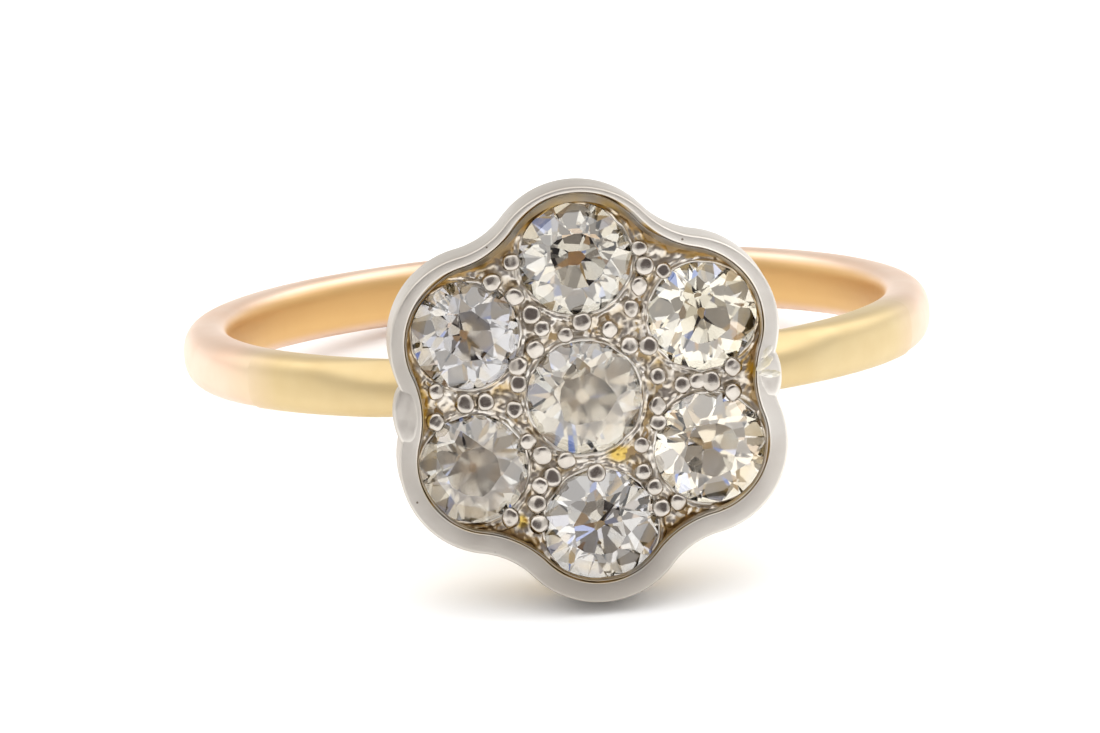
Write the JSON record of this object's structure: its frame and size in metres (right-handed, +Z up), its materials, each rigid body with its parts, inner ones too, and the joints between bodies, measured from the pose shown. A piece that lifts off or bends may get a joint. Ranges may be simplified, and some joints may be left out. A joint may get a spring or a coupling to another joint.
{
  "type": "cluster ring",
  "caption": "Slim ring with a scalloped flower head: round old-cut stones, grain-set in a pierced plate inside a raised rim on an open fluted collet, shown lying on its side.",
  "frame": {"origin": "centre of the finger hole, on its axis and in the middle of the band's width", "axes": "+Z up with the ring lying on its side, -Y towards the flower, +X to the right seen from the flower; the hole's axis leans back from +Z towards +Y"},
  "size_m": [0.0194, 0.0221, 0.0106],
  "materials": {
    "yellow_gold": "polished, lightly worn",
    "rose_gold": "polished, lightly worn",
    "platinum": "polished, soft with wear",
    "old_cut_stone": "faceted and polished"
  },
  "bodies": {
    "root": {"mount": "yellow_gold", "centre_stone": "old_cut_stone", "petal_stone_1": "old_cut_stone", "petal_stone_2": "old_cut_stone", "petal_stone_3": "old_cut_stone", "petal_stone_4": "old_cut_stone", "petal_stone_5": "old_cut_stone", "petal_stone_6": "old_cut_stone"}
  },
  "joints": []
}
